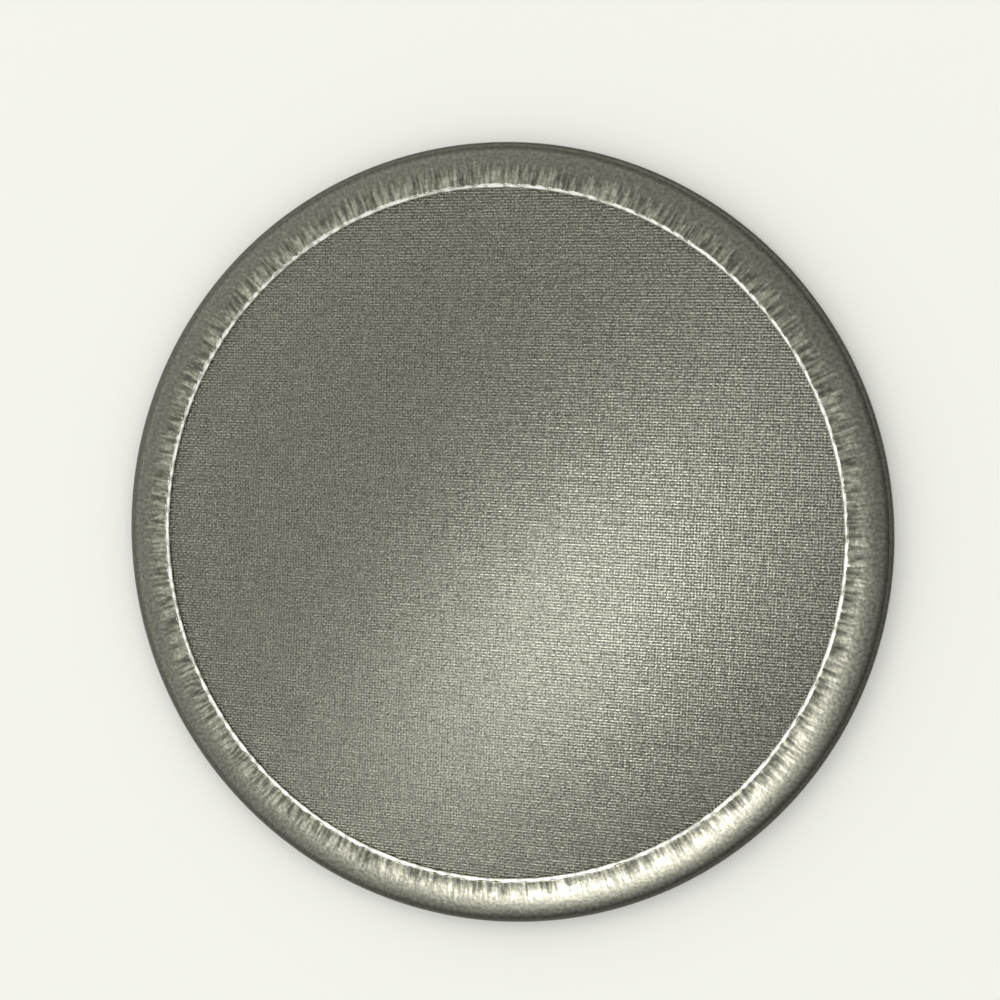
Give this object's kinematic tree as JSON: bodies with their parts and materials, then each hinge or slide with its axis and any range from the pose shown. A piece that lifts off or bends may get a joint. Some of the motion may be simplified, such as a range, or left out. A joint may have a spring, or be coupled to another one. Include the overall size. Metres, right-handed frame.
{
  "type": "wire mesh filter disc",
  "caption": "Round filter disc of fine woven wire cloth over a coarser support cloth, gripped at the edge by a folded sheet steel rim.",
  "frame": {"origin": "centre of the disc, on the plane of the lower crown that it rests on", "axes": "+Z along the disc's axis, from the support cloth to the filter cloth; +X to the right in the picture"},
  "size_m": [0.085, 0.085, 0.0019],
  "materials": {
    "rim_steel": "satin, with short radial crimp wrinkles and a bright burnished lip edge",
    "filter_wire": "drawn wire, satin",
    "support_wire": "drawn wire, satin"
  },
  "bodies": {
    "root": {"rim": "rim_steel", "filter_mesh": "filter_wire", "support_mesh": "support_wire"}
  },
  "joints": []
}
